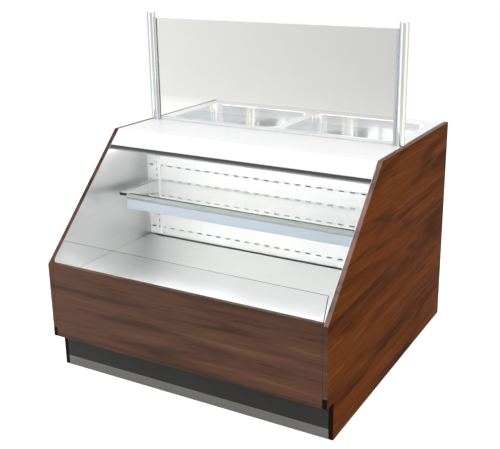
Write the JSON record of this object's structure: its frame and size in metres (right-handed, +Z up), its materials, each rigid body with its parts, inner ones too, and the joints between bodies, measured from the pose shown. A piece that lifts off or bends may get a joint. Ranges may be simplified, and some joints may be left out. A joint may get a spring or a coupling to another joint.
{
  "type": "open-front refrigerated display counter",
  "caption": "Self-contained open-front refrigerated merchandiser with wood-look side panels, a glass shelf, cold wells let into the worktop and a guard glass on posts.",
  "frame": {"origin": "on the floor, at the middle of the case's width and depth", "axes": "+Z up, +X to the right of someone facing the open front, -Y out of the open front"},
  "size_m": [1.213, 1.232, 1.382],
  "materials": {
    "walnut_laminate": "satin laminate",
    "kick_black": "satin",
    "kick_grey": "satin",
    "frame_grey": "satin",
    "stainless": "brushed",
    "white_sheet": "satin white",
    "foam": "matte foam",
    "clear_lip": "clear",
    "shelf_glass": "clear, green edge",
    "guard_glass": "clear",
    "aluminium": "satin",
    "opal": "opal diffuser",
    "charcoal_trim": "satin",
    "chrome": "polished",
    "rubber": "matte",
    "grey_rubber": "matte",
    "copper": "drawn copper",
    "coil_aluminium": "thin fins",
    "black_plastic": "satin",
    "compressor_black": "gloss enamel",
    "galvanised": "zinc",
    "zinc": "plated",
    "grey_plastic": "matte"
  },
  "bodies": {
    "case": {"left_side_panel": "walnut_laminate", "right_side_panel": "walnut_laminate", "front_fascia": "walnut_laminate", "kick_plate": "kick_black", "kick_strip": "kick_grey", "base_frame": "frame_grey", "levelling_feet": "rubber", "insulated_tub": "foam", "deck_support_rails": "stainless", "front_lip": "clear_lip", "lip_channel": "stainless", "left_liner": "stainless", "right_liner": "stainless", "back_panel": "white_sheet", "shelf_standards": "white_sheet", "shelf_brackets": "aluminium", "glass_shelf": "shelf_glass", "shelf_front_rail": "aluminium", "shelf_light_lens": "opal", "canopy_face": "white_sheet", "canopy_edge_trim": "charcoal_trim", "canopy_ceiling": "white_sheet", "air_discharge_honeycomb": "grey_plastic", "canopy_light_housing": "aluminium", "canopy_light_lens": "opal", "worktop": "white_sheet", "left_well": "stainless", "right_well": "stainless", "well_drains": "chrome", "well_jacket": "foam", "left_guard_post": "chrome", "right_guard_post": "chrome", "post_nuts": "zinc", "glass_gaskets": "grey_rubber", "guard_glass": "guard_glass", "evaporator_coil": "coil_aluminium", "evaporator_fan_plate": "galvanised", "evaporator_fan_motors": "compressor_black", "machine_tray": "galvanised", "compressor": "compressor_black", "compressor_mounts": "rubber", "condenser_coil": "coil_aluminium", "condenser_shroud": "galvanised", "condenser_fan_motor": "compressor_black", "refrigerant_lines": "copper", "drain_pipe": "grey_plastic", "condensate_pan": "galvanised", "rear_upper_panel": "white_sheet", "rear_service_panel": "white_sheet", "rear_panel_screws": "zinc", "control_plate": "black_plastic", "cable_gland": "grey_plastic"},
    "left_evaporator_fan": {"left_evaporator_fan": "black_plastic"},
    "right_evaporator_fan": {"right_evaporator_fan": "black_plastic"},
    "condenser_fan": {"condenser_fan": "black_plastic"},
    "power_switch": {"power_switch": "black_plastic"},
    "light_switch": {"light_switch": "black_plastic"},
    "thermostat_knob": {"thermostat_knob": "black_plastic"},
    "deck_pan": {"deck_pan": "stainless"},
    "return_air_grille": {"return_air_grille": "stainless"}
  },
  "joints": [
    {"name": "left_evaporator_fan_spin", "type": "hinge", "parent": "case", "child": "left_evaporator_fan", "pos_m": [-0.26, -0.3565, 0.2935], "axis": [0, 1, 0], "continuous": true},
    {"name": "right_evaporator_fan_spin", "type": "hinge", "parent": "case", "child": "right_evaporator_fan", "pos_m": [0.26, -0.3565, 0.2935], "axis": [0, 1, 0], "continuous": true},
    {"name": "condenser_fan_spin", "type": "hinge", "parent": "case", "child": "condenser_fan", "pos_m": [0.23, 0.449, 0.265], "axis": [0, 1, 0], "continuous": true},
    {"name": "power_switch_rock", "type": "hinge", "parent": "case", "child": "power_switch", "pos_m": [-0.382, 0.595, 0.62], "axis": [-1, 0, 0], "range_deg": [0, 18]},
    {"name": "light_switch_rock", "type": "hinge", "parent": "case", "child": "light_switch", "pos_m": [-0.33, 0.595, 0.62], "axis": [-1, 0, 0], "range_deg": [0, 18]},
    {"name": "thermostat_turn", "type": "hinge", "parent": "case", "child": "thermostat_knob", "pos_m": [-0.265, 0.6034, 0.62], "axis": [0, -1, 0], "range_deg": [0, 270]},
    {"name": "deck_pan_lift", "type": "slide", "parent": "case", "child": "deck_pan", "axis": [0, 0, 1], "range_m": [0, 0.06]},
    {"name": "return_grille_lift", "type": "slide", "parent": "case", "child": "return_air_grille", "axis": [0, 0, 1], "range_m": [0, 0.06]}
  ]
}
